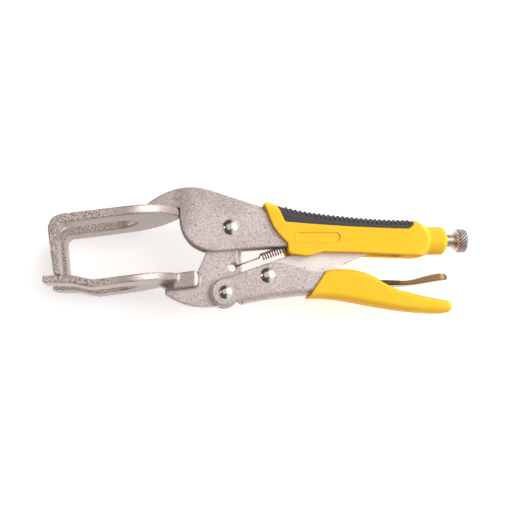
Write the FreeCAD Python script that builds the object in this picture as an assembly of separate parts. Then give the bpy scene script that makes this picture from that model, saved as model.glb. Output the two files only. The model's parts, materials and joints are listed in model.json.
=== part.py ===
import FreeCAD, Part
import math
import os

# Locking pliers with wishbone jaws, lying on their side. Sizes are in millimetres.
# Every piece is drawn about the main rivet: +X runs to the adjusting knob, +Y to the back of the
# upper handle and +Z out of the left side, with z = 0 on the mid-plane of the tool. The last step
# moves the whole tool so that it stands on the floor, centred over the origin.

# ---- Driving dimensions ----
# Pivots, measured from the main rivet.
jaw_rivet_x = -3.2
jaw_rivet_y = -35.4
link_rivet_x = 19.9
link_rivet_y = -26.4
lever_rivet_x = 73.0
lever_rivet_y = -33.5
screw_axis_y = -6.6

# Plates and sheet.
plate_thickness = 8.0
side_clearance = 0.15
sheet = 2.4

# Wishbone forks.
fork_width = 54.0
arm_width = 16.0
bar_height = 4.4
fork_slope = 0.131
upper_fork_front_x = -93.8
lower_fork_front_x = -95.9
fork_root_x = -27.7
fork_shoulder_x = -56.0
fork_neck_half_width = 5.8
upper_bar_y = 10.9
lower_bar_y = -24.7
tip_gap = 0.1
tang_length = 19.0
hub_height = 9.0
hub_front_height = 5.0

# Rivets.
main_rivet_head = 8.8
jaw_rivet_head = 7.8
link_rivet_head = 8.5
lever_rivet_head = 6.0
rivet_shank_share = 0.68
head_height = 1.9
running_clearance = 0.05
head_clearance = 0.12
weld_growth = 0.9
weld_height = 0.7
nose_bead_radius = 1.1

# Handles.
crown_y = 23.0
channel_rear_x = 106.0
barrel_rear_x = 120.4
lower_handle_rear_x = 112.0
ear_radius = 8.1
back_round = 4.2
belly_round = 3.6

# Adjusting screw and knob.
thread_pitch = 1.25
screw_tip_x = 88.6
knob_radius = 6.75
knob_end_wall = 2.5
knob_gap = 0.6
knob_neck_x = 126.6
knob_head_x = 129.2
knob_end_x = 134.6

# Release lever.
lever_sheet = 1.4
lever_side_room = 0.4

# Toggle link.
link_nose_x = 80.0
link_nose_radius = 4.0
link_eye_radius = 6.6

# Grips.
grip_wall = 2.0
grip_taper_start_x = 101.0
grip_cap_start_x = 111.2
grip_cap_end_x = 122.6
inlay_depth = 1.3
inlay_rib_count = 27
inlay_rib_height = 0.55
inlay_first_rib_x = 29.5
inlay_last_rib_x = 101.0
lower_grip_rear_x = 122.8
lower_grip_base_y = -47.7
upper_grip_round = 4.8
lower_grip_round = 3.2
badge_length = 26.0
badge_height = 6.4
badge_depth = 0.5
badge_x = 47.8
badge_y = -5.8

# Tension spring.
spring_hole_x = 1.0
spring_hole_y = -21.7
spring_hole_radius = 2.3
anchor_x = 52.0
anchor_y = -3.5
coil_radius = 2.25
wire_radius = 0.4
coil_pitch = 1.45
coil_start = 17.5
coil_end = 44.5

# ---- Sizes that follow from the driving dimensions ----
plate_half = plate_thickness / 2
channel_inner_half = plate_half + side_clearance
channel_half = channel_inner_half + sheet
grip_half = channel_half + grip_wall
barrel_radius = channel_half
grip_cap_radius = barrel_radius + 1.35
screw_radius = plate_half - 0.05
knob_spigot_radius = screw_radius - 1.45
link_thickness = plate_thickness - 0.6
pinch_half_width = channel_inner_half + 0.75
lever_half_width = channel_half + 0.35
lever_arm_half = channel_inner_half - 0.35
lever_arm_depth = 5.9 - sheet  # from the lever's pivot down to just above the web of the channel
hub_half_width = plate_half + 3.0
fork_half = fork_width / 2
fork_gap_half = fork_half - arm_width
gap_centre_x = fork_root_x - 22.3 - fork_gap_half
tang_front_x = fork_root_x - 6.0
hub_front_x = fork_root_x - 11.0
hub_rear_x = fork_root_x + 10.4
floor_z = fork_half
centre_x = (lower_fork_front_x + knob_end_x) / 2
centre_y = (lower_grip_base_y + crown_y) / 2
far = 300.0


# ---- Drawing helpers ----
class Outline:
    """A closed outline, drawn edge after edge in the side view (x, y) or the plan view (x, z)."""

    def __init__(self, x, y):
        self.edges = []
        self.first = (x, y)
        self.pen = (x, y)

    def line(self, *points):
        for point in points:
            self.edges.append(("line", self.pen, point))
            self.pen = point
        return self

    def arc(self, through, end):
        self.edges.append(("arc", self.pen, through, end))
        self.pen = end
        return self

    def curve(self, *points):
        self.edges.append(("curve", self.pen) + points)
        self.pen = points[-1]
        return self

    def face(self, place):
        if math.dist(self.pen, self.first) > 1e-6:
            self.line(self.first)
        shapes = []
        for kind, *points in self.edges:
            spots = [place(x, y) for x, y in points]
            if kind == "line":
                shapes.append(Part.LineSegment(*spots).toShape())
            elif kind == "arc":
                shapes.append(Part.Arc(*spots).toShape())
            else:
                spline = Part.BSplineCurve()
                spline.interpolate(spots)
                shapes.append(spline.toShape())
        return Part.Face(Part.Wire(shapes))

    def plate(self, low_z, high_z):
        """The outline in the side view, as thick as from low_z to high_z."""
        face = self.face(lambda x, y: FreeCAD.Vector(x, y, low_z))
        return face.extrude(FreeCAD.Vector(0, 0, high_z - low_z))

    def slab(self, low_y=-far, high_y=far):
        """The outline in the plan view, from low_y to high_y."""
        face = self.face(lambda x, z: FreeCAD.Vector(x, low_y, z))
        return face.extrude(FreeCAD.Vector(0, high_y - low_y, 0))


def rod(x, y, radius, low_z, high_z):
    """A round bar along Z."""
    return Part.makeCylinder(radius, high_z - low_z, FreeCAD.Vector(x, y, low_z))


def block(low, high):
    size = [top - bottom for bottom, top in zip(low, high)]
    return Part.makeBox(*size, FreeCAD.Vector(*low))


def revolved(profile, axis_y):
    """A profile of (x, radius) points turned about a line along X at the height axis_y."""
    points = [FreeCAD.Vector(x, axis_y + radius, 0) for x, radius in profile]
    face = Part.Face(Part.makePolygon(points + points[:1]))
    return face.revolve(FreeCAD.Vector(0, axis_y, 0), FreeCAD.Vector(1, 0, 0), 360)


def inset(points, distance):
    """The points of a smooth line, moved to its right by a distance."""
    spline = Part.BSplineCurve()
    spline.interpolate([FreeCAD.Vector(x, y, 0) for x, y in points])
    moved = []
    for x, y in points:
        run = spline.tangent(spline.parameter(FreeCAD.Vector(x, y, 0)))[0]
        moved.append((x + run.y * distance, y - run.x * distance))
    return moved


def rounded(solid, radius, chosen):
    """The solid with the edges that pass the test rounded."""
    return solid.makeFillet(radius, [edge for edge in solid.Edges if chosen(edge)])


def tangent_point(centre, radius, outside, side):
    """Where a line from an outside point touches a circle, on its left (1) or right (-1)."""
    dx = outside[0] - centre[0]
    dy = outside[1] - centre[1]
    angle = math.atan2(dy, dx) + side * math.acos(radius / math.hypot(dx, dy))
    return centre[0] + radius * math.cos(angle), centre[1] + radius * math.sin(angle)


def on_circle(centre, radius, degrees):
    angle = math.radians(degrees)
    return centre[0] + radius * math.cos(angle), centre[1] + radius * math.sin(angle)


# ---- Forks ----
def bar_top(x, bar_y):
    """The height of a fork's upper face, which rises evenly from the tips to the root."""
    return bar_y + fork_slope * (x - fork_root_x)


def wishbone_plan(front_x):
    """The plan of both forks: two arms, an arched shoulder and a neck."""
    def side(sign):
        spread = fork_half - fork_neck_half_width
        shares = [(0.0, 0.0), (0.15, 0.32), (0.36, 0.67), (0.65, 0.915), (1.0, 1.0)]
        return [
            (fork_root_x + run * (fork_shoulder_x - fork_root_x),
             sign * (fork_neck_half_width + share * spread))
            for run, share in shares
        ]
    left = side(1)
    right = side(-1)[::-1]
    plan = Outline(*left[0]).curve(*left[1:])
    plan.line((front_x, fork_half), (front_x, fork_gap_half), (gap_centre_x, fork_gap_half))
    plan.arc((gap_centre_x + fork_gap_half, 0), (gap_centre_x, -fork_gap_half))
    plan.line((front_x, -fork_gap_half), (front_x, -fork_half), right[0]).curve(*right[1:])
    return plan.slab()


def upper_jaw_fork():
    """The fixed jaw: both arms run forward and turn down to the tips."""
    front = upper_fork_front_x
    tip_y = lower_fork_top(front) + tip_gap
    knee = 7.0
    lean = 3.0
    knee_y = bar_top(front + knee, upper_bar_y)
    under_y = knee_y - bar_height - 0.2
    band = Outline(fork_root_x, bar_top(fork_root_x, upper_bar_y) - 1.2)
    band.line((fork_root_x - 1.2, bar_top(fork_root_x - 1.2, upper_bar_y)))
    band.line((front + knee, knee_y))
    band.arc((front + 1.9, knee_y - 2.6), (front, knee_y - 8.2))
    band.line((front + lean, tip_y + 1.6), (front + lean + 0.6, tip_y), (front + lean + 3.6, tip_y))
    band.line((front + bar_height, under_y - 4.8))
    band.arc((front + bar_height + 1.1, under_y - 1.1), (front + bar_height + 4.6, under_y))
    band.line((fork_root_x, bar_top(fork_root_x, upper_bar_y) - bar_height - 0.4))
    fork = band.plate(-fork_half, fork_half).common(wishbone_plan(front))
    # The tang is held between the cheeks of the upper handle.
    top = bar_top(fork_root_x, upper_bar_y)
    tang = block(
        (tang_front_x, top - bar_height, -channel_inner_half),
        (tang_front_x + tang_length, top - 0.6, channel_inner_half),
    )
    return fork.fuse(tang).removeSplitter()


def lower_fork_top(x):
    """The upper face of the lower fork: a level seat in front, then a step and an even rise."""
    seat_end = lower_fork_front_x + 17.0
    seat_y = bar_top(lower_fork_front_x, lower_bar_y) + 5.4
    return seat_y if x < seat_end else bar_top(x, lower_bar_y)


def lower_jaw_fork():
    """The moving jaw: both arms end in a joggled seat under the tips of the upper fork."""
    front = lower_fork_front_x
    seat_y = lower_fork_top(front)
    seat_end = front + 15.5
    step_end = front + 25.0
    low_y = bar_top(step_end, lower_bar_y)
    top = bar_top(fork_root_x, lower_bar_y)
    thick = bar_height - 0.3
    band = Outline(fork_root_x, top)
    band.line((step_end, low_y))
    band.curve((step_end - 5.2, (low_y + seat_y) / 2 - 0.1), (seat_end, seat_y))
    band.line((front, seat_y), (front, seat_y - thick + 0.3), (seat_end - 1, seat_y - thick))
    band.curve((step_end - 6.2, (low_y + seat_y) / 2 - thick - 0.1), (step_end - 1, low_y - thick))
    band.line((fork_root_x, top - thick))
    fork = band.plate(-fork_half, fork_half).common(wishbone_plan(front))
    return fork.fuse(lower_fork_hub()).removeSplitter()


def hub_outline(growth=0.0):
    """The thick root of the lower fork in side view, which sits in the notch of the jaw plate."""
    top = bar_top(hub_rear_x, lower_bar_y)
    hub = Outline(hub_front_x, bar_top(hub_front_x, lower_bar_y) + growth)
    hub.line((hub_rear_x - 2.5, top - 0.3 + growth))
    hub.arc((hub_rear_x - 0.7 + growth, top - 1.2), (hub_rear_x + growth, top - 3.2))
    hub.line((hub_rear_x + growth, top - hub_height + 2.2))
    hub.arc((hub_rear_x - 0.5 + growth, top - hub_height + 0.7),
            (hub_rear_x - 2.0, top - hub_height - growth))
    slope_x = hub_front_x + 5.0
    hub.line((slope_x, bar_top(slope_x, lower_bar_y) - hub_height - growth + 0.6))
    hub.line((hub_front_x, bar_top(hub_front_x, lower_bar_y) - hub_front_height - growth))
    return hub


def lower_fork_hub():
    hub = hub_outline().plate(-hub_half_width, hub_half_width)
    taper = Outline(hub_front_x - 1, -2.5)
    taper.line((hub_front_x + 8, -hub_half_width), (hub_rear_x - 2, -hub_half_width))
    taper.line((hub_rear_x + 1, 2 - hub_half_width), (hub_rear_x + 1, hub_half_width - 2))
    taper.line((hub_rear_x - 2, hub_half_width), (hub_front_x + 8, hub_half_width))
    taper.line((hub_front_x - 1, 2.5))
    return hub.common(taper.slab())


# ---- Upper handle ----
nose_tip = (fork_root_x - 22.8, bar_top(fork_root_x - 22.8, upper_bar_y))
handle_back = [
    nose_tip,
    (-36.6, crown_y - 4.2),
    (-21.0, crown_y),
    (-5.7, 19.7),
    (18.0, 12.0),
    (45.0, 5.5),
    (80.0, 2.5),
    (channel_rear_x, screw_axis_y + channel_half),
]
cheek_front_x = fork_root_x + 0.4


def upper_handle_blank():
    """The solid shape that the upper channel fills, without its hollow."""
    blank = Outline(*handle_back[0]).curve(*handle_back[1:])
    blank.line((channel_rear_x, screw_axis_y - channel_half))
    blank.curve((68.0, -12.2), (31.0, -10.6), (6.5, -11.9), (-7.8, -13.2))
    blank.curve((-14.5, -12.1), (-21.5, -8.0), (-25.4, -2.4), (cheek_front_x, 4.8))
    blank.line((cheek_front_x, bar_top(cheek_front_x, upper_bar_y)))
    solid = blank.plate(-channel_half, channel_half)
    return rounded(solid, back_round, is_back_edge)


def is_back_edge(edge):
    """The two long edges along the back of the upper handle."""
    middle = edge.valueAt((edge.FirstParameter + edge.LastParameter) / 2)
    return edge.Length > 120 and middle.y > -5 and abs(abs(middle.z) - channel_half) < 0.01


def pinch_cutter(sign):
    """Takes the side of the nose away, forward of the cheeks."""
    tip_x = nose_tip[0] - 1
    blend_end_x = cheek_front_x + 8.0
    drop = channel_half - pinch_half_width
    cutter = Outline(tip_x, sign * pinch_half_width / 2)
    cutter.line((cheek_front_x - 5.5, sign * pinch_half_width))
    cutter.curve(
        (cheek_front_x - 1.5, sign * (pinch_half_width + 0.25 * drop)),
        (cheek_front_x + 3.5, sign * (pinch_half_width + 0.8 * drop)),
        (blend_end_x, sign * channel_half),
    )
    cutter.line((blend_end_x, sign * 2 * channel_half), (tip_x, sign * 2 * channel_half))
    # Below the fork's upper face the cheeks keep their full width.
    return cutter.slab(low_y=bar_top(cheek_front_x, upper_bar_y) - 12.0)


def upper_handle_hollow():
    """The space inside the channel, open along the underside."""
    hollow_front_x = cheek_front_x - 3.0
    back = [point for point in inset(handle_back, sheet) if point[0] > hollow_front_x]
    start_y = back[0][1] - 4.5
    hollow = Outline(hollow_front_x, start_y)
    hollow.curve(*back)
    hollow.line((channel_rear_x + 1, back[-1][1]), (channel_rear_x + 1, -40), (hollow_front_x, -40))
    return hollow.plate(-channel_inner_half, channel_inner_half)


def spring_lug():
    """A tongue under the back of the channel with the hole for the spring's rear hook."""
    lug_half = 1.25
    lug = Outline(anchor_x - 3.4, 4.0)
    lug.line((anchor_x - 2.4, anchor_y))
    lug.arc((anchor_x, anchor_y - 2.2), (anchor_x + 2.4, anchor_y))
    lug.line((anchor_x + 3.4, 3.4))
    eye = rod(anchor_x, anchor_y, wire_radius + 0.5, -lug_half - 1, lug_half + 1)
    return lug.plate(-lug_half, lug_half).cut(eye)


def upper_handle():
    handle = upper_handle_blank().cut(upper_handle_hollow())
    for sign in (1, -1):
        handle = handle.cut(pinch_cutter(sign))
    handle = handle.fuse(spring_lug())
    handle = handle.cut(upper_fork_envelope())
    handle = handle.cut(rivet_shank(0, 0, main_rivet_head, 0.0, channel_half))
    return handle.removeSplitter()


def upper_fork_envelope():
    """The room that the fork's tang takes in the nose of the handle."""
    top = bar_top(fork_root_x, upper_bar_y)
    return block(
        (tang_front_x, top - bar_height - 4, -channel_inner_half),
        (tang_front_x + tang_length, top - 0.6, channel_inner_half),
    )


def upper_fork_weld():
    """A fillet of weld metal along each side of the nose, on the fork's upper face."""
    beads = []
    for sign in (1, -1):
        start = FreeCAD.Vector(cheek_front_x - 5.5, bar_top(cheek_front_x - 5.5, upper_bar_y),
                               sign * pinch_half_width)
        end_x = nose_tip[0] + 5.0
        end = FreeCAD.Vector(end_x, bar_top(end_x, upper_bar_y), sign * 2.9)
        run = end - start
        beads.append(Part.makeCylinder(nose_bead_radius, run.Length, start, run))
    weld = beads[0].fuse(beads[1])
    weld = weld.cut(upper_handle_solid).cut(upper_fork_solid)
    return kept_pieces(weld, 2.0)


def kept_pieces(shape, least_volume):
    """A shape without the slivers that a cut leaves behind."""
    return Part.makeCompound([solid for solid in shape.Solids if solid.Volume > least_volume])


def threaded_barrel():
    """The round threaded bush that carries the adjusting screw, with a spigot in the channel."""
    spigot = block((channel_rear_x - 6, screw_axis_y - channel_half + 1.2, -channel_inner_half),
                   (channel_rear_x, screw_axis_y + channel_half - sheet - 0.4, channel_inner_half))
    barrel = revolved([(channel_rear_x, 0), (channel_rear_x, barrel_radius),
                       (barrel_rear_x - 1, barrel_radius), (barrel_rear_x, barrel_radius - 1),
                       (barrel_rear_x, 0)], screw_axis_y)
    bore = revolved([(channel_rear_x - 8, 0), (channel_rear_x - 8, screw_radius + running_clearance),
                     (barrel_rear_x + 1, screw_radius + running_clearance),
                     (barrel_rear_x + 1, 0)], screw_axis_y)
    return barrel.fuse(spigot).removeSplitter().cut(bore)


# ---- Rivets ----
def rivet_shank(x, y, head, growth, half_length):
    radius = head * rivet_shank_share / 2 + growth
    return rod(x, y, radius, -half_length, half_length)


def rivet(x, y, head, seat):
    """A shank with a domed head on both sides; seat is where the heads begin."""
    dome_radius = ((head / 2) ** 2 + head_height ** 2) / (2 * head_height)
    body = rivet_shank(x, y, head, 0.0, seat + 0.2)
    for sign in (1, -1):
        ball = Part.makeSphere(dome_radius,
                               FreeCAD.Vector(x, y, sign * (seat + head_height - dome_radius)))
        low, high = sorted((sign * seat, sign * (seat + head_height + 1)))
        body = body.fuse(ball.common(rod(x, y, head / 2, low, high)))
    return body.removeSplitter()


def main_rivet():
    return rivet(0, 0, main_rivet_head, channel_half)


def jaw_rivet():
    return rivet(jaw_rivet_x, jaw_rivet_y, jaw_rivet_head, channel_half + head_clearance)


def link_rivet():
    return rivet(link_rivet_x, link_rivet_y, link_rivet_head, channel_half)


def lever_rivet():
    """A flush rivet: the grip covers both of its ends."""
    return rivet_shank(lever_rivet_x, lever_rivet_y, lever_rivet_head, 0.0, channel_half)


# ---- Lower jaw plate ----
def lower_jaw_plate():
    """The thick plate that swings on the main rivet inside the upper handle."""
    head_radius = 10.5
    heel_radius = 7.5
    right_x = 6.5
    heel = (jaw_rivet_x, jaw_rivet_y)
    shoulder = on_circle((0, 0), head_radius, 208)
    plate = Outline(*shoulder)
    plate.line((-18.5, -25.0), (-18.5, -29.0), (-35.2, -31.5), (-35.4, -35.8))
    plate.curve((-32.2, -37.9), (-26.5, -40.7), (-16.1, -42.8), (-6.5, -42.7),
                on_circle(heel, heel_radius, -88))
    plate.arc(on_circle(heel, heel_radius, -45), on_circle(heel, heel_radius, 5))
    plate.curve((5.7, -30.5), (right_x, -25.5))
    plate.line((right_x, -8.2))
    plate.arc(on_circle((0, 0), head_radius, 60), shoulder)
    solid = plate.plate(-plate_half, plate_half)
    solid = solid.cut(hub_outline().plate(-far, far))
    solid = solid.cut(rivet_shank(0, 0, main_rivet_head, running_clearance, plate_half))
    solid = solid.cut(rivet_shank(*heel, jaw_rivet_head, 0.0, plate_half))
    solid = solid.cut(rod(spring_hole_x, spring_hole_y, spring_hole_radius, -far, far))
    # The edge beside the hole is stepped down, so that the spring's hook can reach the hole.
    step_x = spring_hole_x + spring_hole_radius + 0.4
    step = block((step_x, -31.0, -wire_radius - 0.35), (head_radius + 1, -2.0, plate_half + 1))
    slot = block((spring_hole_x, spring_hole_y - 1.0, -wire_radius - 0.35),
                 (head_radius + 1, spring_hole_y + 2.2, plate_half + 1))
    return solid.cut(step).cut(slot)


def lower_fork_weld():
    """The fillet of weld metal between the fork's root and the plate, on both faces."""
    beads = []
    ring = hub_outline(weld_growth).plate(-plate_half - weld_height, plate_half + weld_height)
    ring = ring.cut(hub_outline().plate(-far, far))
    ring = ring.common(block((hub_front_x + 4, -far, -far), (far, far, far)))
    ring = ring.cut(block((-far, -far, -plate_half), (far, far, plate_half)))
    for solid in ring.Solids:
        beads.append(solid.common(weld_backing()))
    return kept_pieces(Part.makeCompound(beads), 0.5)


def weld_backing():
    """The part of the jaw plate's side view that weld metal can lie on."""
    return block((-34.9, -37.0, -far), (-15.0, bar_top(hub_rear_x, lower_bar_y) - 2.6, far))


# ---- Lower handle ----
lower_back = [
    (6.2, -41.7),
    (14.0, -40.0),
    (31.0, -37.8),
    (56.0, -37.2),
    (76.0, -40.4),
    (98.0, -44.2),
    (lower_handle_rear_x, lower_grip_base_y + grip_wall),
]


def lower_handle_outline():
    heel = (jaw_rivet_x, jaw_rivet_y)
    top_touch = on_circle(heel, ear_radius, 112)
    handle = Outline(*lower_back[0]).curve(*lower_back[1:])
    handle.line((lower_handle_rear_x, -41.8))
    handle.curve((98.0, -38.0), (86.0, -34.1), (72.0, -27.1), (56.0, -25.7))
    handle.curve((43.0, -23.9), (33.0, -20.9), (25.4, -19.6), (17.0, -20.9), (4.7, -25.0), top_touch)
    handle.arc(on_circle(heel, ear_radius, -160), on_circle(heel, ear_radius, -46))
    handle.arc((3.4, -40.0), (4.9, -41.1))
    return handle


def lower_handle():
    solid = lower_handle_outline().plate(-channel_half, channel_half)
    solid = rounded(solid, belly_round, is_belly_edge)
    hollow = Outline(-far, far)
    hollow.line((-far, -60), (4.0, -60), (4.0, -39.0))
    hollow.curve(*inset(lower_back, -sheet)[1:])
    hollow.line((lower_handle_rear_x + 1, lower_back[-1][1] + sheet), (lower_handle_rear_x + 1, far))
    solid = solid.cut(hollow.plate(-channel_inner_half, channel_inner_half))
    solid = solid.cut(
        rivet_shank(jaw_rivet_x, jaw_rivet_y, jaw_rivet_head, running_clearance, channel_half))
    solid = solid.cut(
        rivet_shank(link_rivet_x, link_rivet_y, link_rivet_head, 0.0, channel_half))
    return solid.cut(
        rivet_shank(lever_rivet_x, lever_rivet_y, lever_rivet_head, 0.0, channel_half))


def is_belly_edge(edge):
    """The two long edges along the closed bottom of the lower handle."""
    middle = edge.valueAt((edge.FirstParameter + edge.LastParameter) / 2)
    return edge.Length > 90 and middle.y < -37 and abs(abs(middle.z) - channel_half) < 0.01


# ---- Toggle link ----
def toggle_link():
    """The over-centre strut from the lower handle to the tip of the screw."""
    eye = (link_rivet_x, link_rivet_y)
    nose = (link_nose_x, screw_axis_y)
    bend = (36.0, -14.0)
    start = tangent_point(eye, link_eye_radius, bend, 1)
    nose_top = on_circle(nose, link_nose_radius, 100)
    nose_bottom = on_circle(nose, link_nose_radius, -40)
    link = Outline(*start)
    link.line(bend, nose_top)
    link.arc(on_circle(nose, link_nose_radius, 30), nose_bottom)
    link.line((77.5, -14.0), (64.5, -19.5))
    link.curve((61.0, -21.5), (59.3, -24.5), (58.2, -28.0), (54.0, -30.6))
    heel_touch = on_circle(eye, link_eye_radius, -80)
    link.line(heel_touch)
    link.arc(on_circle(eye, link_eye_radius, 180), start)
    half = link_thickness / 2
    solid = link.plate(-half, half)
    return solid.cut(
        rivet_shank(*eye, link_rivet_head, running_clearance, half))


# ---- Release lever ----
def lever_plan(skin):
    """The lever's plan with its rounded tip, `skin` mm inside the outer edge."""
    half = lever_half_width - skin
    neck_half = lever_arm_half + 0.1 - skin
    shoulder_half = (neck_half + half) / 2
    plan = Outline(79.0, -neck_half)
    plan.line((84.0, -neck_half)).curve((88.0, -shoulder_half), (93.0, -half))
    plan.line((114.5, -half)).arc((122.7 - skin, 0), (114.5, half))
    plan.line((93.0, half)).curve((88.0, shoulder_half), (84.0, neck_half))
    plan.line((79.0, neck_half))
    return plan.slab()


def release_lever():
    """A pressed lever: a narrow arm in the channel and a shallow trough for the finger."""
    top = [(80.0, -28.9), (90.0, -29.4), (98.0, -29.5), (105.0, -28.0), (112.0, -26.3), (117.0, -25.6)]
    bottom = [(121.2, -29.3), (116.0, -29.9), (108.0, -31.1), (98.0, -32.3), (88.0, -32.2), (80.0, -32.0)]
    side = Outline(*top[0]).curve(*top[1:]).curve((120.8, -26.4), (122.6, -28.3), bottom[0])
    side.curve(*bottom[1:])
    trough = Outline(86.0, -20.0)
    trough.line((86.0, -28.5))
    trough.curve((92.0, -30.7), (98.0, -30.9), (108.0, -29.7), (115.5, -28.4), (119.6, -27.2),
                 (121.6, -25.6))
    trough.line((128.0, -20.0))
    hollow = trough.plate(-lever_half_width, lever_half_width).common(lever_plan(lever_sheet))
    pan = side.plate(-lever_half_width, lever_half_width).common(lever_plan(0.0)).cut(hollow)
    arm_floor_y = lever_rivet_y - lever_arm_depth
    arm = Outline(80.5, -28.95)
    arm.curve((76.0, -29.3), (70.0, -29.9), (64.0, -31.9), (59.6, -33.2))
    arm.arc((58.9, arm_floor_y + 2.8), (60.4, arm_floor_y + 2.1))
    arm.curve((66.0, arm_floor_y + 1.4), (lever_rivet_x, arm_floor_y), (77.5, arm_floor_y + 1.4),
              (80.5, -32.1))
    arm_solid = arm.plate(-lever_arm_half, lever_arm_half)
    lever = pan.fuse(arm_solid).removeSplitter()
    return lever.cut(
        rivet_shank(lever_rivet_x, lever_rivet_y, lever_rivet_head, running_clearance,
                    lever_arm_half))


# ---- Adjusting screw ----
def adjusting_screw():
    """The M8 shank, drawn as its outer cylinder, with a blunt tip and a spigot for the knob."""
    return revolved([
        (screw_tip_x, 0),
        (screw_tip_x, screw_radius - 1.0),
        (screw_tip_x + 1.0, screw_radius),
        (knob_neck_x + knob_gap, screw_radius),
        (knob_neck_x + knob_gap, knob_spigot_radius),
        (knob_end_x - knob_end_wall, knob_spigot_radius),
        (knob_end_x - knob_end_wall, 0),
    ], screw_axis_y)


def screw_knob():
    """The knurled head, with a turned cone on the side of the handle."""
    bore = knob_spigot_radius + running_clearance
    face_x = knob_neck_x + knob_gap + running_clearance
    return revolved([
        (face_x, bore),
        (face_x, screw_radius + 0.35),
        (knob_neck_x + 1.2, screw_radius + 1.0),
        (knob_neck_x + 1.3, screw_radius + 0.7),
        (knob_head_x - 0.7, knob_radius - 1.0),
        (knob_head_x, knob_radius - 0.6),
        (knob_head_x + 0.5, knob_radius),
        (knob_end_x - 0.9, knob_radius),
        (knob_end_x, knob_radius - 1.1),
        (knob_end_x, 0),
        (knob_end_x - knob_end_wall + running_clearance, 0),
        (knob_end_x - knob_end_wall + running_clearance, bore),
    ], screw_axis_y)


# ---- Upper grip ----
grip_back = [
    (20.9, 14.5),
    (36.4, 9.6),
    (56.4, 6.7),
    (80.0, 4.6),
    (105.6, 4.1),
]


def upper_grip_blank(depth):
    """The outer shape of the upper grip, taken in by a depth on its back and sides."""
    half = grip_half - depth
    back = inset(grip_back, depth)
    front = (18.2, 13.0 - depth)
    cap_step = 0.5
    blank = Outline(*front).line(back[0]).curve(*back[1:])
    blank.line((grip_cap_start_x, screw_axis_y + grip_cap_radius - cap_step - depth))
    blank.line((grip_cap_start_x, screw_axis_y - grip_cap_radius + cap_step))
    blank.line((110.4, -15.0), (107.4, -15.9), (95.0, -15.4), (66.0, -14.2), (50.5, -13.9))
    blank.curve((46.5, -15.0), (42.0, -16.0), (37.0, -15.6), (32.0, -14.8))
    blank.line((31.0, -13.2), (30.9, -9.2))
    blank.curve((27.2, -5.3), (23.6, -0.4), (20.8, 6.2), front)
    solid = blank.plate(-half, half)
    solid = rounded(solid, upper_grip_round - depth, is_grip_back_edge)
    # The rear narrows from the full section to the round cap.
    corner = math.hypot(grip_half, grip_half + 3.5)
    return solid.common(revolved([
        (0, 0),
        (0, 2 * corner),
        (grip_taper_start_x, corner),
        (grip_cap_start_x, grip_cap_radius + 0.1 - depth),
        (grip_cap_start_x, 0),
    ], screw_axis_y))


def is_grip_back_edge(edge):
    """The long edges along the back of the upper grip."""
    middle = edge.valueAt((edge.FirstParameter + edge.LastParameter) / 2)
    return edge.Length > 60 and middle.y > 2 and abs(middle.z) > 5


def grip_cap():
    """The round end of the grip, round the threaded barrel."""
    return revolved([
        (grip_cap_start_x - 6, 0),
        (grip_cap_start_x - 6, grip_cap_radius - 0.4),
        (grip_cap_start_x, grip_cap_radius),
        (grip_cap_end_x - 2.4, grip_cap_radius),
        (grip_cap_end_x - 1.0, grip_cap_radius - 0.8),
        (grip_cap_end_x, grip_cap_radius - 2.6),
        (grip_cap_end_x, 0),
    ], screw_axis_y)


def inlay_region():
    """Everything above the lower edge of the inlay, in side view."""
    region = Outline(26.0, 11.9)
    region.line((29.9, 2.9)).curve((55.0, 1.0), (99.5, -0.9))
    region.line((102.2, 1.4), (102.6, 3.2), (102.6, 30.0), (20.0, 30.0), (24.6, 15.0))
    return region.plate(-far, far)


def grip_inlay():
    """The soft inlay, flush with the grip, with ribs across its back."""
    shell = upper_grip_blank(0.0).cut(upper_grip_blank(inlay_depth)).common(inlay_region())
    back = Part.BSplineCurve()
    back.interpolate([FreeCAD.Vector(x, y, 0) for x, y in grip_back])
    ribs = []
    step = (inlay_last_rib_x - inlay_first_rib_x) / inlay_rib_count
    rib_radius = step * 0.36
    for index in range(inlay_rib_count):
        spot_x = inlay_first_rib_x + step * (index + 0.5)
        line = Part.LineSegment(FreeCAD.Vector(spot_x, -50, 0), FreeCAD.Vector(spot_x, 50, 0))
        spot = back.intersect(line)[0]
        reach = grip_half - 3.6
        centre = FreeCAD.Vector(spot.X, spot.Y + inlay_rib_height - rib_radius, -reach)
        ribs.append(Part.makeCylinder(rib_radius, 2 * reach, centre, FreeCAD.Vector(0, 0, 1)))
    inner = upper_grip_blank(inlay_depth)
    return shell.fuse(ribs).cut(inner).removeSplitter()


def grip_slot():
    """The opening along the underside of the upper grip, for the link."""
    slot_end_x = 96.3
    return block((0, -30, -channel_inner_half), (slot_end_x, screw_axis_y, channel_inner_half))


def badge(sign):
    """A blank stadium-shaped recess in the side of the grip."""
    radius = badge_height / 2
    left = badge_x - badge_length / 2 + radius
    right = badge_x + badge_length / 2 - radius
    stadium = Outline(left, badge_y - radius).line((right, badge_y - radius))
    stadium.arc((right + radius, badge_y), (right, badge_y + radius))
    stadium.line((left, badge_y + radius))
    stadium.arc((left - radius, badge_y), (left, badge_y - radius))
    edge = sorted((sign * (grip_half - badge_depth), sign * (grip_half + 1)))
    return stadium.plate(*edge)


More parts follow.
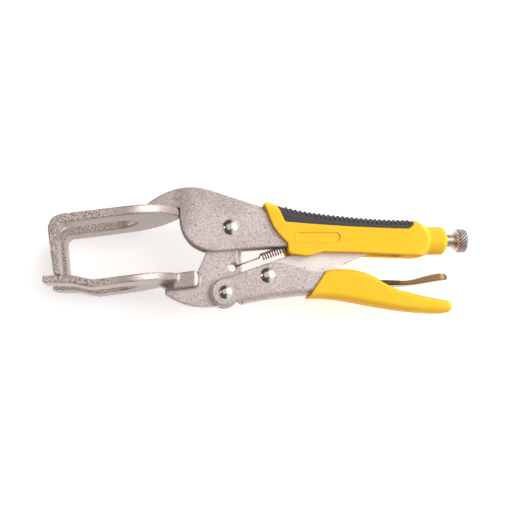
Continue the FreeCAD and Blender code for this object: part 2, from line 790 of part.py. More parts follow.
def upper_grip():
    grip = upper_grip_blank(0.0).fuse(grip_cap()).removeSplitter()
    grip = grip.cut(upper_grip_blank(0.0).common(inlay_region()).cut(upper_grip_blank(inlay_depth)))
    grip = grip.cut(upper_handle_blank())
    grip = grip.cut(revolved([(channel_rear_x - 1, 0), (channel_rear_x - 1, barrel_radius),
                              (barrel_rear_x - 1, barrel_radius),
                              (barrel_rear_x, barrel_radius - 1), (barrel_rear_x, 0)],
                             screw_axis_y))
    grip = grip.cut(revolved([(100, 0), (100, screw_radius + 0.5), (far, screw_radius + 0.5),
                              (far, 0)], screw_axis_y))
    grip = grip.cut(grip_slot())
    for sign in (1, -1):
        grip = grip.cut(badge(sign))
    return kept_pieces(grip, 100.0).Solids[0]


# ---- Lower grip ----
def lower_grip():
    """The sleeve on the rear of the lower handle, open on top for link and lever."""
    front = (41.9, -38.6)
    blank = Outline(*front).line((52.0, -24.0), (55.3, -23.4))
    blank.curve((66.0, -23.5), (73.0, -24.9), (82.5, -29.2), (94.0, -34.7), (110.0, -39.0),
                (lower_grip_rear_x - 2.8, -40.9))
    blank.arc((lower_grip_rear_x, -44.2), (lower_grip_rear_x - 3.4, lower_grip_base_y))
    blank.curve((98.9, -46.4), (76.0, -42.6), (56.4, -39.1), front)
    solid = blank.plate(-grip_half, grip_half)
    solid = rounded(solid, lower_grip_round, is_long_grip_edge)
    solid = solid.cut(lower_handle_filled())
    slot_end_x = 99.0
    solid = solid.cut(
        block((0, -37.0, -channel_inner_half), (slot_end_x, 0, channel_inner_half)))
    # The slot widens where the trough of the release lever dips into it.
    bay_half = lever_half_width + lever_side_room
    bay_start_x = lever_rivet_x + 8.5
    bay = Outline(bay_start_x, -33.7).line((slot_end_x, -36.2), (slot_end_x, 0))
    bay.line((bay_start_x, 0))
    return solid.cut(bay.plate(-bay_half, bay_half))


def is_long_grip_edge(edge):
    """The edges along the top, the rear end and the belly of the lower grip."""
    middle = edge.CenterOfMass
    at_side = abs(abs(middle.z) - grip_half) < 0.01
    return at_side and (edge.Length > 60 or middle.x > lower_handle_rear_x)


def lower_handle_filled():
    solid = lower_handle_outline().plate(-channel_half, channel_half)
    return rounded(solid, belly_round, is_belly_edge)


# ---- Tension spring ----
def tension_spring():
    """A coil on the line from the hole in the jaw plate to the lug, with a hook at each end."""
    start = FreeCAD.Vector(spring_hole_x, spring_hole_y + 0.3, 0)
    run = FreeCAD.Vector(anchor_x, anchor_y, 0) - start
    mean_radius = coil_radius - wire_radius
    turns = round((coil_end - coil_start) / coil_pitch)
    coil_length = turns * coil_pitch
    # The spring is made along +Z, with its coil starting at the origin, and laid in place last.
    helix = Part.makeHelix(coil_pitch, coil_length, mean_radius)
    section = Part.Wire(Part.makeCircle(
        wire_radius, FreeCAD.Vector(mean_radius, 0, 0), FreeCAD.Vector(0, 1, 0)))
    spring = Part.Wire(helix.Edges).makePipeShell([section], True, True)
    hole_edge = spring_hole_radius - wire_radius - 0.2 - coil_start
    lug_hole = run.Length - coil_start
    side_step = 2.4
    front = [(0, 3.2, hole_edge), (0, 0, hole_edge), (0, 0, -1.4), (mean_radius, 0, 0)]
    rear = [(mean_radius, 0, coil_length), (0, 0, coil_length + 1.4), (0, 0, lug_hole - 4.2),
            (0, -side_step, lug_hole - 2.6), (0, -side_step, lug_hole), (0, side_step, lug_hole)]
    for route in (front, rear):
        spring = spring.fuse(bent_wire([FreeCAD.Vector(*point) for point in route]))
    run.normalize()
    up = FreeCAD.Vector(-run.y, run.x, 0)
    turn = FreeCAD.Rotation(up, FreeCAD.Vector(0, 0, 1), run, "ZYX")
    spring.Placement = FreeCAD.Placement(start + run * coil_start, turn)
    return spring


def bent_wire(route):
    """Straight wires with balls at the bends, a little fatter where they join the coil."""
    pieces = [Part.makeCylinder(wire_radius, (high - low).Length, low, high - low)
              for low, high in zip(route, route[1:])]
    for spot in route:
        joins_coil = spot.x > 0
        pieces.append(Part.makeSphere(wire_radius * (1.05 if joins_coil else 1.0), spot))
    return pieces[0].fuse(pieces[1:])


# ---- Assembly ----
upper_handle_solid = upper_handle()
upper_fork_solid = upper_jaw_fork()

parts = {
    "upper_handle": upper_handle_solid,
    "upper_jaw_fork": upper_fork_solid,
    "upper_fork_weld": upper_fork_weld(),
    "threaded_barrel": threaded_barrel(),
    "main_rivet": main_rivet(),
    "upper_grip": upper_grip(),
    "grip_inlay": grip_inlay(),
    "lower_jaw_plate": lower_jaw_plate(),
    "lower_jaw_fork": lower_jaw_fork(),
    "lower_fork_weld": lower_fork_weld(),
    "jaw_rivet": jaw_rivet(),
    "lower_handle": lower_handle(),
    "lower_grip": lower_grip(),
    "link_rivet": link_rivet(),
    "lever_rivet": lever_rivet(),
    "toggle_link": toggle_link(),
    "release_lever": release_lever(),
    "adjusting_screw": adjusting_screw(),
    "screw_knob": screw_knob(),
    "tension_spring": tension_spring(),
}

os.makedirs("parts", exist_ok=True)
for name, shape in parts.items():
    shape.translate(FreeCAD.Vector(-centre_x, -centre_y, floor_z))
    shape.exportStep(f"parts/{name}.step")
    box = shape.BoundBox
    print(f"{name:18s} {len(shape.Solids)} solid  valid {shape.isValid()}  {shape.Volume:9.1f} mm3  "
          f"x {box.XMin:6.1f} {box.XMax:6.1f}  y {box.YMin:6.1f} {box.YMax:6.1f}  "
          f"z {box.ZMin:5.1f} {box.ZMax:5.1f}")
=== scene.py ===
# %% [markdown]
# # Locking pliers with wishbone jaws
# The tool lies on its side. Its solid bodies come from the imported model, which fixes every size.
# This lesson gives each body its finish and swaps a few of them for finer copies: rounded forks,
# a real screw thread, a turned and knurled knob, and a smooth-shaded spring.

# %% Load the frame
import json
import math

import bmesh
import bpy
from mathutils import Matrix, Vector


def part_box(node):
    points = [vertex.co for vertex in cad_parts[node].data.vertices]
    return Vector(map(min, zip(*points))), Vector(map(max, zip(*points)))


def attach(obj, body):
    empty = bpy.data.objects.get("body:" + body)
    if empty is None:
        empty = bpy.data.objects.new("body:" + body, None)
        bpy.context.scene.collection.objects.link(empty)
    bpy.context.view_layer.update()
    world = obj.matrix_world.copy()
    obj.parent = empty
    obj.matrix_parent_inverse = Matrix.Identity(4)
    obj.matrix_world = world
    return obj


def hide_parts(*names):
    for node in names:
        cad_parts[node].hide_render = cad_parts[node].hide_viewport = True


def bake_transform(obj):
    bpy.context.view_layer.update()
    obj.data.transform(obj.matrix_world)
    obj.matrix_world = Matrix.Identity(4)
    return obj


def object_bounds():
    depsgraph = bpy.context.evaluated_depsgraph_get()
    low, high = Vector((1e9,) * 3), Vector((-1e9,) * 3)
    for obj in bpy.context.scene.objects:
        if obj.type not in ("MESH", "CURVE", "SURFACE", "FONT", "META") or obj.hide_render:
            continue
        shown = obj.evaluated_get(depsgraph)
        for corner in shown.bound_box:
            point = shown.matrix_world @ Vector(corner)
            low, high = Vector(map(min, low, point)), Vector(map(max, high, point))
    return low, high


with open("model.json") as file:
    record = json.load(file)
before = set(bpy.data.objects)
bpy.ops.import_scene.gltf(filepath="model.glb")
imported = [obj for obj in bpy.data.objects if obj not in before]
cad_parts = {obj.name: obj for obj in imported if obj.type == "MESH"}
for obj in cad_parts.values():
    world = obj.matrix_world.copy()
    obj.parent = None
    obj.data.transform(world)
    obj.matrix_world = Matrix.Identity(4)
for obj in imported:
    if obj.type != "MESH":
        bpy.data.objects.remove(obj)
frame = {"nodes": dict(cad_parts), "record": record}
cad_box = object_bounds()
print("CAD box, mm:", [round(1000 * (b - a), 1) for a, b in zip(*cad_box)])

# %% [markdown]
# Every place below is told in millimetres from the main rivet, because that is how a fitter
# would lay the tool out. The rivet's own box gives the point that all else is measured from.

# %% Measure from the main rivet
MM = 0.001
rivet_low, rivet_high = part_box("main_rivet")
pivot = (rivet_low + rivet_high) / 2


def at(x, y, z=0.0):
    """A point in millimetres from the main rivet, in the frame's metres."""
    return pivot + Vector((x, y, z)) * MM


def from_rivet(point):
    return (point - pivot) / MM


screw_low, screw_high = (from_rivet(p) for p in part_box("adjusting_screw"))
knob_low, knob_high = (from_rivet(p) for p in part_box("screw_knob"))
grip_low, grip_high = (from_rivet(p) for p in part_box("upper_grip"))
screw_axis_y = (screw_low.y + screw_high.y) / 2
screw_radius = (screw_high.y - screw_low.y) / 2
print("screw axis at y", round(screw_axis_y, 2), "radius", round(screw_radius, 2))

# %% [markdown]
# Shader maths is easier to follow as ordinary sums. `Value` wraps one socket, so that
# `1 - mask * 0.5` adds the Math nodes by itself. `Finish` holds one material, and its `node`
# method makes any other node from its settings and inputs.

# %% Shader maths
class Value:
    def __init__(self, finish, socket):
        self.finish = finish
        self.socket = socket

    def op(self, operation, *values):
        inputs = dict(enumerate(values))
        return self.finish.node("ShaderNodeMath", {"operation": operation}, inputs)

    def __add__(self, other):
        return self.op("ADD", self, other)

    def __radd__(self, other):
        return self.op("ADD", other, self)

    def __sub__(self, other):
        return self.op("SUBTRACT", self, other)

    def __rsub__(self, other):
        return self.op("SUBTRACT", other, self)

    def __mul__(self, other):
        return self.op("MULTIPLY", self, other)

    def __rmul__(self, other):
        return self.op("MULTIPLY", other, self)

    def __truediv__(self, other):
        return self.op("DIVIDE", self, other)

    def __rtruediv__(self, other):
        return self.op("DIVIDE", other, self)

    def __neg__(self):
        return self.op("MULTIPLY", self, -1.0)

    def step(self, low, high):
        """0 below low, 1 above high, and smooth between them."""
        return self.finish.node("ShaderNodeMapRange", {"interpolation_type": "SMOOTHSTEP"},
                                {0: self, 1: low, 2: high, 3: 0.0, 4: 1.0})


class Finish:
    def __init__(self, name, color, roughness, metallic=0.0, **constants):
        self.material = bpy.data.materials.new(name)
        self.material.use_nodes = True
        self.tree = self.material.node_tree
        self.shader = self.tree.nodes["Principled BSDF"]
        self.set("Base Color", (*color, 1.0))
        self.set("Roughness", roughness)
        self.set("Metallic", metallic)
        for key, value in constants.items():
            self.set(key.replace("_", " "), value)
        coordinates = self.tree.nodes.new("ShaderNodeTexCoord")
        place = Value(self, coordinates.outputs["Object"])
        self.facing = Value(self, coordinates.outputs["Normal"])
        scaled = self.node("ShaderNodeMapping", {"vector_type": "POINT"},
                           {0: place, 1: tuple(-pivot / MM), 3: (1 / MM,) * 3})
        self.place = scaled

    def node(self, kind, settings=None, inputs=None, output=0):
        node = self.tree.nodes.new(kind)
        for key, value in (settings or {}).items():
            setattr(node, key, value)
        for key, value in (inputs or {}).items():
            if isinstance(value, Value):
                self.tree.links.new(value.socket, node.inputs[key])
            else:
                node.inputs[key].default_value = value
        return Value(self, node.outputs[output])

    def set(self, socket, value):
        if isinstance(value, Value):
            self.tree.links.new(value.socket, self.shader.inputs[socket])
        else:
            self.shader.inputs[socket].default_value = value
        return self

    def part(self, vector, axis):
        """One of the three numbers of a vector: 0 for x, 1 for y and 2 for z."""
        return self.node("ShaderNodeSeparateXYZ", None, {0: vector}, axis)

    def noise(self, size, detail=2.0, stretch=(1.0, 1.0, 1.0), rough=0.5):
        """Cloudy noise whose blotches are about `size` millimetres across."""
        spread = self.node("ShaderNodeVectorMath", {"operation": "MULTIPLY"},
                           {0: self.place, 1: stretch})
        return self.node("ShaderNodeTexNoise", None,
                         {"Vector": spread, "Scale": 1 / size, "Detail": detail, "Roughness": rough})

    def mix(self, share, first, second):
        """A colour between two others; each is a Value or three numbers."""
        first, second = (c if isinstance(c, Value) else (*c, 1.0) for c in (first, second))
        return self.node("ShaderNodeMix", {"data_type": "RGBA"}, {0: share, 6: first, 7: second}, 2)

    def bump(self, height, depth, strength=1.0):
        """Raises the surface by `depth` millimetres where the height is 1."""
        return self.node("ShaderNodeBump", None,
                         {"Strength": strength, "Distance": depth * MM, "Height": height})


# %% [markdown]
# The plated steel is a warm satin nickel. Up close it is finely speckled, a little cloudy, and
# has the odd dark pit. Two scales of noise and a sparse Voronoi pattern give those three. The
# pattern is flat, so each pit is drawn the same on both cheeks. The colour darkens a little
# toward the top, the crown of the upper handle. The lower handle also has a swaged ring round its
# front ear, and fine scratches.

# %% Nickel
pits_per_mm = 0.085


def nickel(name, color, shade, roughness, contrast=0.60, ear=None):
    """Satin plating; `ear` is the centre of a swaged ring, in millimetres from the main rivet."""
    finish = Finish(name, color, roughness, 0.45)
    fine = finish.noise(0.75, 4.0, rough=0.75).step(0.40, 0.60)
    cloud = finish.noise(14.0, 2.0).step(0.3, 0.7)
    crown = finish.part(finish.place, 1).step(2.0, 26.0)
    dark = (1 - fine) * contrast + cloud * 0.22 + crown * 0.22 + 0.04
    tone = finish.mix(dark, color, shade)
    cells = finish.node("ShaderNodeTexVoronoi", {"voronoi_dimensions": "2D"},
                        {"Vector": finish.place, "Scale": pits_per_mm, "Randomness": 1.0})
    pit = 1 - cells.step(0.015, 0.048)
    tone = finish.mix(pit * 0.8, tone, (0.05, 0.045, 0.04))
    height = fine * 0.6 - pit * 2.0
    finish.set("Base Color", tone)
    finish.set("Roughness", roughness + fine * 0.12 + cloud * 0.05)
    if ear:
        x = finish.part(finish.place, 0) - ear[0]
        y = finish.part(finish.place, 1) - ear[1]
        reach = (x * x + y * y).op("SQRT", x * x + y * y)
        turn = finish.part(finish.facing, 2)
        front = 1 - x.step(-1.0, 5.0)
        flat = turn.op("ABSOLUTE", turn).step(0.6, 0.9)
        swage = reach.step(6.6, 8.3) * flat * front
        scratch = finish.noise(9.0, 2.0, (0.5, 1.6, 1.0)) - 0.5
        line = 1 - scratch.op("ABSOLUTE", scratch).step(0.0, 0.010)
        line = line * finish.noise(7.0, 1.0).step(0.56, 0.60)
        tone = finish.mix(line * 0.6, tone, (0.16, 0.13, 0.12))
        height = height - swage * 30.0 - line * 1.5
    finish.set("Normal", finish.bump(height, 0.03, 0.7))
    return finish


light_nickel = (0.80, 0.705, 0.69)
dark_nickel = (0.34, 0.265, 0.25)
handle_nickel = nickel("satin_nickel", light_nickel, dark_nickel, 0.38)
lower_nickel = nickel("lower_nickel", light_nickel, dark_nickel, 0.38, ear=(-3.2, -35.4))
plate_nickel = nickel("plate_nickel", light_nickel, dark_nickel, 0.42)
link_nickel = nickel("bright_nickel", (0.93, 0.88, 0.86), (0.58, 0.52, 0.50), 0.45, contrast=0.5)
print("nickel finishes:", handle_nickel.material.name, plate_nickel.material.name)

# %% [markdown]
# The forks are forged bar. The flanks of their arms keep a coarse grain, while the root and the
# upper and lower faces are rubbed smooth. Where a point is along x, and which way its surface
# faces, decide between the two.

# %% Forged forks
def forged(name):
    finish = Finish(name, (0.62, 0.56, 0.53), 0.35, 0.75)
    turn = finish.part(finish.facing, 2)
    flank = turn.op("ABSOLUTE", turn).step(0.45, 0.80)
    bar = 1 - finish.part(finish.place, 0).step(-68.0, -52.0)
    flank = flank * bar
    grain = finish.noise(0.85, 4.0, rough=0.75).step(0.38, 0.62)
    fine = finish.noise(0.6, 3.0, rough=0.7).step(0.38, 0.62)
    cloud = finish.noise(9.0, 2.0).step(0.3, 0.7)
    smooth_tone = finish.mix(fine * 0.6, (0.55, 0.465, 0.435), (0.26, 0.20, 0.178))
    rough_tone = finish.mix(grain, (0.19, 0.14, 0.118), (0.74, 0.64, 0.605))
    rough_tone = finish.mix(cloud * 0.28, rough_tone, (0.40, 0.33, 0.30))
    finish.set("Base Color", finish.mix(flank, smooth_tone, rough_tone))
    finish.set("Roughness", 0.34 + flank * 0.04 + grain * 0.05)
    height = grain * flank + fine * 0.15
    finish.set("Normal", finish.bump(height, 0.12, 0.9))
    return finish


fork_nickel = forged("forged_nickel")

# %% [markdown]
# Rivets and the release lever are polished, so their look is all reflection. A faint uneven
# polish keeps the highlights from being perfectly clean. The weld beads are a bit rougher. The
# lever's golden brown is a painted reflection of the yellow grips, and its edges that face up
# carry a painted highlight.

# %% Polished metals
def polished(name, color, roughness, waviness=0.004, painted_light_edge=None):
    """Bare bright metal, with an optional painted highlight colour for the parts that face up."""
    finish = Finish(name, color, roughness, 1.0)
    haze = finish.noise(2.5, 2.0)
    finish.set("Roughness", roughness + haze.step(0.35, 0.75) * 0.08)
    tone = finish.mix(haze * 0.35, color, tuple(c * 0.75 for c in color))
    # Parts that face up take a painted highlight colour.
    if painted_light_edge:
        tone = finish.mix(finish.part(finish.facing, 1).step(0.05, 0.45), tone, painted_light_edge)
    finish.set("Base Color", tone)
    finish.set("Normal", finish.bump(finish.noise(0.9, 1.0), waviness, 0.5))
    return finish


chrome = polished("rivet_chrome", (0.80, 0.755, 0.73), 0.12)
painted_highlight = (0.90, 0.87, 0.86)
# The golden brown is a painted reflection; the pale colour is a painted highlight on the parts that face
# up.
lever_painted_reflection = polished("lever_painted_reflection", (0.19, 0.115, 0.055), 0.18, painted_light_edge=painted_highlight)
weld_nickel = polished("weld_nickel", (0.66, 0.59, 0.56), 0.34, 0.08)
spring_wire = polished("spring_wire", (0.30, 0.28, 0.27), 0.24)
screw_polish = polished("screw_polish", (0.56, 0.50, 0.46), 0.20)
barrel_steel = polished("barrel_steel", (0.55, 0.51, 0.48), 0.30)

# %% [markdown]
# The grips are a moulded yellow plastic. Where the surface turns away it is painted more orange,
# as painted shade for the light that travels further inside the plastic. The skin has a fine
# moulded texture.

# %% Yellow grip
def grip_plastic():
    gloss_tint = (1.0, 0.66, 0.2, 1.0)
    finish = Finish("grip_yellow", (0.96, 0.58, 0.03), 0.38, Specular_IOR_Level=0.3,
                    Specular_Tint=gloss_tint)
    turn = finish.part(finish.facing, 2)
    painted_light_edge = 1 - turn.op("ABSOLUTE", turn).step(0.15, 0.85)
    cloud = finish.noise(18.0, 2.0).step(0.25, 0.75)
    tone = finish.mix(cloud * 0.5, (0.97, 0.575, 0.030), (0.98, 0.625, 0.055))
    # Painted shade: surfaces that turn away are painted orange.
    tone = finish.mix(painted_light_edge * 0.85, tone, (0.92, 0.42, 0.008))
    finish.set("Base Color", tone)
    skin = finish.noise(0.45, 2.0)
    finish.set("Roughness", 0.36 + cloud * 0.08 + skin * 0.08 + painted_light_edge * 0.2)
    finish.set("Normal", finish.bump(skin, 0.012, 0.6))
    return finish


grip_yellow = grip_plastic()

# %% [markdown]
# The back of the upper grip carries a soft charcoal inlay. Each rib on its back ends in a small
# dimple on both sides, painted nearly black as painted shade in the hollow. The dimples repeat
# along x with the ribs, so the fraction of a rib's pitch places each one, and a gentle curve
# keeps them just under the grip's back.

# %% Rubber inlay
def inlay_rubber(first_x=29.5, last_x=101.0, count=27):
    finish = Finish("inlay_rubber", (0.040, 0.037, 0.043), 0.6)
    x = finish.part(finish.place, 0)
    y = finish.part(finish.place, 1)
    pitch = (last_x - first_x) / count
    shift = ((x - first_x) / pitch).op("FRACT", (x - first_x) / pitch) - 0.5
    along = shift * pitch
    run = (x - first_x) / (last_x - first_x)
    line = 9.3 - run * 16.0 + run * run * 8.6
    down = y - line
    spot = (along * along + down * down * 0.6)
    shaded_dimple = 1 - spot.step(0.25, 1.0)
    inside = x.step(first_x, first_x + 0.5) * (1 - x.step(last_x - 0.5, last_x))
    shaded_dimple = shaded_dimple * inside
    grain = finish.noise(0.25, 2.0)
    cloud = finish.noise(6.0, 2.0)
    tone = finish.mix(cloud, (0.055, 0.050, 0.058), (0.036, 0.033, 0.039))
    # Painted shade: the dimples are painted nearly black.
    finish.set("Base Color", finish.mix(shaded_dimple * 0.8, tone, (0.010, 0.009, 0.011)))
    finish.set("Roughness", 0.55 + grain * 0.2)
    finish.set("Normal", finish.bump(grain * 0.06 - shaded_dimple, 0.35, 0.9))
    return finish


rubber = inlay_rubber()

# %% [markdown]
# The rim of the knob is knurled: two sets of helical cuts cross on it, each painted dark as
# painted shade in its groove. The angle about the screw's axis and the distance along it give both
# helices. The same finish leaves the turned cone and the end face plain.

# %% Knurled knob
def knurled(teeth=11.0):
    finish = Finish("knob_nickel", (0.62, 0.56, 0.53), 0.30, 0.95)
    x = finish.part(finish.place, 0)
    up = finish.part(finish.place, 1) - screw_axis_y
    out = finish.part(finish.place, 2)
    angle = up.op("ARCTAN2", out, up) * teeth
    helix = x * (teeth / 6.75)
    first = (angle + helix).op("SINE", angle + helix)
    second = (angle - helix).op("SINE", angle - helix)
    first, second = (v.op("ABSOLUTE", v) for v in (first, second))
    tooth = first.op("MINIMUM", first, second + 0.40)
    radius = (up * up + out * out).op("SQRT", up * up + out * out)
    rim = radius.step(5.95, 6.3)
    shaded_cut = (1 - tooth.step(0.30, 0.80)) * rim
    haze = finish.noise(0.5, 2.0)
    tone = finish.mix(haze * 0.5, (0.66, 0.565, 0.52), (0.40, 0.32, 0.28))
    # Painted shade: the knurl grooves are painted dark.
    finish.set("Base Color", finish.mix(shaded_cut, tone, (0.06, 0.045, 0.035)))
    finish.set("Roughness", 0.34 + rim * 0.08)
    finish.set("Normal", finish.bump(haze * 0.05 - shaded_cut, 0.22, 1.0))
    return finish


knob_nickel = knurled()

# %% [markdown]
# Sheet metal and forgings never have knife edges. A copy of each listed body is welded into one
# surface, remade from small even cells and relaxed, which rounds every edge a little, much as
# tumbling does in the factory. Thin sheet gets small cells and thick bar gets larger ones.

# %% Rounding helpers
def cad_copy(node):
    form = bmesh.new()
    form.from_mesh(frame["nodes"][node].data)
    bmesh.ops.remove_doubles(form, verts=form.verts, dist=0.000002)
    return form


def add_piece(name, form, finish, body, stands_for=(), sharp=math.radians(180)):
    mesh = bpy.data.meshes.new(name)
    form.to_mesh(mesh)
    form.free()
    piece = bpy.data.objects.new(name, mesh)
    bpy.context.scene.collection.objects.link(piece)
    mesh.shade_smooth()
    if sharp < math.pi:
        mesh.set_sharp_from_angle(angle=sharp)
    mesh.materials.append(finish.material)
    if body:
        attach(piece, body)
    if stands_for:
        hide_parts(*stands_for)
    print(f"{name}: {len(mesh.polygons)} faces")
    return piece


def tumbled(node, cell, rounds):
    """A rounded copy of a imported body, as a bmesh."""
    form = cad_copy(node)
    mesh = bpy.data.meshes.new("raw")
    form.to_mesh(mesh)
    form.free()
    raw = bpy.data.objects.new("raw", mesh)
    bpy.context.scene.collection.objects.link(raw)
    remake = raw.modifiers.new("Cells", "REMESH")
    remake.mode = "VOXEL"
    remake.voxel_size = cell * MM
    relax = raw.modifiers.new("Relax", "SMOOTH")
    relax.factor = 0.5
    relax.iterations = rounds
    depsgraph = bpy.context.evaluated_depsgraph_get()
    done = bpy.data.meshes.new_from_object(raw.evaluated_get(depsgraph))
    bpy.data.objects.remove(raw)
    form = bmesh.new()
    form.from_mesh(done)
    return form


body_of = {n: b for b, nodes in frame["record"]["behaviour"]["bodies"].items() for n in nodes}

# %% Round the forks, sheet parts and grips
rounded_bodies = [
    ("upper_jaw_fork", fork_nickel, 0.50, 14),
    ("lower_jaw_fork", fork_nickel, 0.50, 14),
    ("upper_fork_weld", weld_nickel, 0.25, 5),
    ("lower_fork_weld", weld_nickel, 0.30, 5),
    ("upper_handle", handle_nickel, 0.40, 4),
    ("lower_handle", lower_nickel, 0.40, 4),
    ("lower_jaw_plate", plate_nickel, 0.40, 3),
    ("toggle_link", link_nickel, 0.40, 3),
    ("release_lever", lever_painted_reflection, 0.30, 5),
    ("upper_grip", grip_yellow, 0.42, 5),
    ("lower_grip", grip_yellow, 0.42, 5),
]
for node, finish, cell, rounds in rounded_bodies:
    add_piece(f"{node}_rounded", tumbled(node, cell, rounds), finish, body_of[node], [node])

# %% [markdown]
# Rivets, barrel and inlay are already right as they come from the frame. They only need their
# finish.

# %% Finish the bodies that stay
staying = {
    "main_rivet": chrome,
    "jaw_rivet": chrome,
    "link_rivet": chrome,
    "lever_rivet": chrome,
    "threaded_barrel": barrel_steel,
    "grip_inlay": rubber,
}
for node, finish in staying.items():
    mesh = frame["nodes"][node].data
    mesh.materials.clear()
    mesh.materials.append(finish.material)
    print(node, "takes", finish.material.name)


# %% [markdown]
# The thread is one tooth's outline spun along a helix. Each turn moves it on by one pitch, so the
# end of one turn meets the start of the next and the two are merged. The ends are cut square.

# %% Screw thread
def profile(form, points):
    """Joins points of (x, radius) in the plane above the screw's axis."""
    spots = [form.verts.new(at(x, screw_axis_y + radius)) for x, radius in points]
    for low, high in zip(spots, spots[1:]):
        form.edges.new((low, high))
    return form.verts[:] + form.edges[:]


def spun(form, geometry, steps, turns=1, advance=0.0):
    bmesh.ops.spin(form, geom=geometry, cent=at(0, screw_axis_y), axis=(1, 0, 0),
                   dvec=Vector((advance * MM / steps, 0, 0)), angle=turns * math.tau,
                   steps=steps * turns, use_merge=turns == 1)
    bmesh.ops.remove_doubles(form, verts=form.verts, dist=0.000005)


pitch = 1.25
root = screw_radius - 0.68
face_x = knob_low.x + 0.3
form = bmesh.new()
turns = math.ceil((face_x - screw_low.x) / pitch) + 2
tooth = [(0.0, root), (0.10, root), (0.44, screw_radius - 0.03), (0.56, screw_radius - 0.03),
         (0.90, root), (1.0, root)]
start = screw_low.x - pitch
geometry = profile(form, [(start + share * pitch, radius) for share, radius in tooth])
spun(form, geometry, 32, turns, pitch)
for x, normal in ((screw_low.x, -1), (face_x, 1)):
    bmesh.ops.bisect_plane(form, geom=form.verts[:] + form.edges[:] + form.faces[:],
                           plane_co=at(x, 0), plane_no=(normal, 0, 0), clear_outer=True)
    rim = [e for e in form.edges if e.is_boundary and abs(e.verts[0].co.x - at(x, 0).x) < 1e-6
           and abs(e.verts[1].co.x - at(x, 0).x) < 1e-6]
    bmesh.ops.edgeloop_fill(form, edges=rim)
core = bmesh.ops.create_cone(form, cap_ends=True, segments=32, radius1=2.5 * MM, radius2=2.5 * MM,
                             depth=(screw_high.x - face_x + 2) * MM)
middle = at((screw_high.x + face_x - 2) / 2, screw_axis_y)
bmesh.ops.rotate(form, verts=core["verts"], cent=(0, 0, 0), matrix=Matrix.Rotation(math.pi / 2, 3, "Y"))
bmesh.ops.translate(form, verts=core["verts"], vec=middle)
bmesh.ops.recalc_face_normals(form, faces=form.faces)
print("thread turns", turns, "open edges", sum(e.is_boundary for e in form.edges))
add_piece("screw_thread", form, screw_polish, body_of["adjusting_screw"], ["adjusting_screw"],
          math.radians(35))

# %% [markdown]
# The knob is turned in one go: a small collar, a few fine rings on its cone, then the knurled
# rim with broken corners. Its outline is spun once round the screw's axis.

# %% Turned knob
form = bmesh.new()
neck, end = knob_low.x, knob_high.x
outline = [(neck + 0.02, 2.6), (neck + 0.02, 4.2), (neck + 0.25, 4.75), (neck + 0.55, 4.95),
           (neck + 0.75, 4.6), (neck + 0.9, 4.65), (neck + 1.1, 5.15), (neck + 1.25, 5.2),
           (neck + 1.4, 5.0), (neck + 1.6, 5.45), (neck + 1.85, 5.75), (neck + 2.0, 6.1),
           (neck + 2.5, 6.6), (neck + 2.8, 6.72), (end - 0.9, 6.72), (end - 0.35, 6.35),
           (end, 5.6), (end, 3.4), (end - 0.25, 3.0), (end - 0.25, 0.0)]
spun(form, profile(form, outline), 96)
bmesh.ops.holes_fill(form, edges=form.edges)
bmesh.ops.recalc_face_normals(form, faces=form.faces)
print("knob open edges", sum(e.is_boundary for e in form.edges))
add_piece("turned_knob", form, knob_nickel, body_of["screw_knob"], ["screw_knob"], math.radians(30))

# %% [markdown]
# The tension spring joins the jaw to the handle. Its smooth copy stays fixed where the imported spring
# was, on no body.

# %% Spring
form = cad_copy("tension_spring")
spring = add_piece("spring_coil", form, spring_wire, None, sharp=math.radians(50))
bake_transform(spring)
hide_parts("tension_spring")

# %% [markdown]
# A blank name panel is sunk in each side of the upper grip. Moulded panels like it have a thin
# raised lip, made here from a stadium-shaped outline that is bevelled into a half-round bead.

# %% Panel lip
panel_x, panel_y = 47.8, -5.8
lip_rise = 0.62
lip_sink = 0.50


def panel_lip(sign):
    """The lip on the left side of the grip for 1, and on the right side for -1."""
    form = bmesh.new()
    half_run, radius, lip = 9.8, 3.45, 0.45
    made = bmesh.ops.create_circle(form, segments=48, radius=radius * MM)
    for vert in made["verts"]:
        if abs(vert.co.x) > 1e-9:
            vert.co.x += math.copysign(half_run * MM, vert.co.x)
    face = bmesh.ops.contextual_create(form, geom=form.edges[:])["faces"]
    bmesh.ops.inset_individual(form, faces=face, thickness=lip * 2 * MM, use_even_offset=True)
    bmesh.ops.delete(form, geom=face, context="FACES_ONLY")
    ring = form.faces[:]
    top = bmesh.ops.extrude_face_region(form, geom=ring)["geom"]
    bmesh.ops.translate(form, verts=[g for g in top if isinstance(g, bmesh.types.BMVert)],
                        vec=(0, 0, lip_rise * MM))
    bmesh.ops.recalc_face_normals(form, faces=form.faces)
    crest = [e for e in form.edges if all(v.co.z > 0.3 * MM for v in e.verts)
             and e.calc_face_angle(0) > 1.0]
    bmesh.ops.bevel(form, geom=crest, offset=0.34 * MM, segments=3, profile=0.5, affect="EDGES",
                    material=-1)
    if sign < 0:
        bmesh.ops.rotate(form, verts=form.verts, cent=(0, 0, 0), matrix=Matrix.Rotation(math.pi, 3, "X"))
    side = grip_high.z if sign > 0 else grip_low.z
    place = at(panel_x, panel_y, side - sign * lip_sink)
    bmesh.ops.translate(form, verts=form.verts, vec=place)
    name = "panel_lip_left" if sign > 0 else "panel_lip_right"
    lip_piece = add_piece(name, form, grip_yellow, "upper_frame", sharp=math.radians(60))


for sign in (1, -1):
    panel_lip(sign)

# %% [markdown]
# The stage is a pale floor just under the tool. It glows a little, as a lit table would, so the
# shadows stay soft.

# %% Floor
floor_size = 3.0
floor_gap = 0.0002
form = bmesh.new()
bmesh.ops.create_grid(form, x_segments=1, y_segments=1, size=floor_size)
bmesh.ops.translate(form, verts=form.verts, vec=(0, 0, cad_box[0].z - floor_gap))
floor_finish = Finish("pale_floor", (0.80, 0.80, 0.80), 0.9, Emission_Color=(1, 1, 1, 1),
                      Emission_Strength=0.52)
floor = add_piece("floor", form, floor_finish, None)

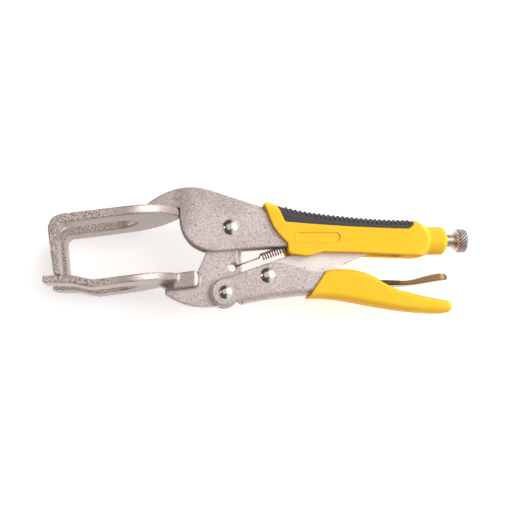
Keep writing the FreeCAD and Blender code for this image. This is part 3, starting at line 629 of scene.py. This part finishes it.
# %% [markdown]
# A wide sheet of light hangs over the tool and fills every flat. A stronger box on the right
# gives the rivets their bright side, and a thin strip on the left gives them a faint rim.

# %% Lights
def softbox(name, place, size, watts, tint=(1, 1, 1)):
    light = bpy.data.lights.new(name, "AREA")
    light.shape = "RECTANGLE"
    light.size, light.size_y = size
    light.energy = watts
    light.color = tint
    lamp = bpy.data.objects.new(name, light)
    bpy.context.scene.collection.objects.link(lamp)
    lamp.location = at(*place)
    lamp.rotation_euler = (at(15, -12) - lamp.location).to_track_quat("-Z", "Y").to_euler()


softbox("right_box", (620, 190, 470), (0.85, 0.70), 6.0)
softbox("front_sheet", (-60, 160, 900), (1.3, 1.0), 2.6)
softbox("left_strip", (-760, 60, 130), (0.16, 0.7), 0.9, (1.0, 0.95, 0.92))

# %% [markdown]
# The room itself is dark on the left and bright on the right. Each stop of the ramp gives a place
# from the left wall, 0, to the right wall, 1, and the colour there.

# %% Room
world = bpy.data.worlds.new("room")
world.use_nodes = True
room = world.node_tree
aim = room.nodes.new("ShaderNodeTexCoord")
split = room.nodes.new("ShaderNodeSeparateXYZ")
ramp = room.nodes.new("ShaderNodeValToRGB")
stops = [(0.0, (0.50, 0.47, 0.45)), (0.10, (0.10, 0.075, 0.06)), (0.55, (0.12, 0.10, 0.09)),
         (0.72, (0.85, 0.83, 0.81)), (1.0, (1.0, 0.99, 0.98))]
while len(ramp.color_ramp.elements) < len(stops):
    ramp.color_ramp.elements.new(0.5)
for element, (position, color) in zip(ramp.color_ramp.elements, stops):
    element.position = position
    element.color = (*color, 1)
across = room.nodes.new("ShaderNodeMath")
across.operation = "MULTIPLY_ADD"
across.inputs[1].default_value = across.inputs[2].default_value = 0.5
room.links.new(aim.outputs["Generated"], split.inputs[0])
room.links.new(split.outputs[0], across.inputs[0])
room.links.new(across.outputs[0], ramp.inputs[0])
room.links.new(ramp.outputs[0], room.nodes["Background"].inputs["Color"])
bpy.context.scene.world = world
bpy.context.scene.view_settings.view_transform = "Standard"
print("room stops:", [position for position, color in stops])

# %% [markdown]
# The camera hangs above the tool and a little to the lower left, as if someone bent over the
# bench. Its three axes are worked out from where it looks, then turned a touch about the view.

# %% Camera
camera = bpy.data.objects.new("camera", bpy.data.cameras.new("camera"))
bpy.context.scene.collection.objects.link(camera)
eye = at(-38.4, -73.3, 410)
target = at(13.85, -14.45, 0)
back = (eye - target).normalized()
right = Vector((0, 1, 0)).cross(back).normalized()
up = back.cross(right)
roll = math.radians(-1.16)
right, up = right * math.cos(roll) + up * math.sin(roll), up * math.cos(roll) - right * math.sin(roll)
camera.matrix_world = Matrix((
    (right.x, up.x, back.x, eye.x),
    (right.y, up.y, back.y, eye.y),
    (right.z, up.z, back.z, eye.z),
    (0, 0, 0, 1),
))
camera.data.sensor_width = 36.0
camera.data.lens = 53.581
camera.data.clip_start = 0.01
bpy.context.scene.camera = camera
print("camera stands", round((eye - target).length / MM), "mm from the tool")
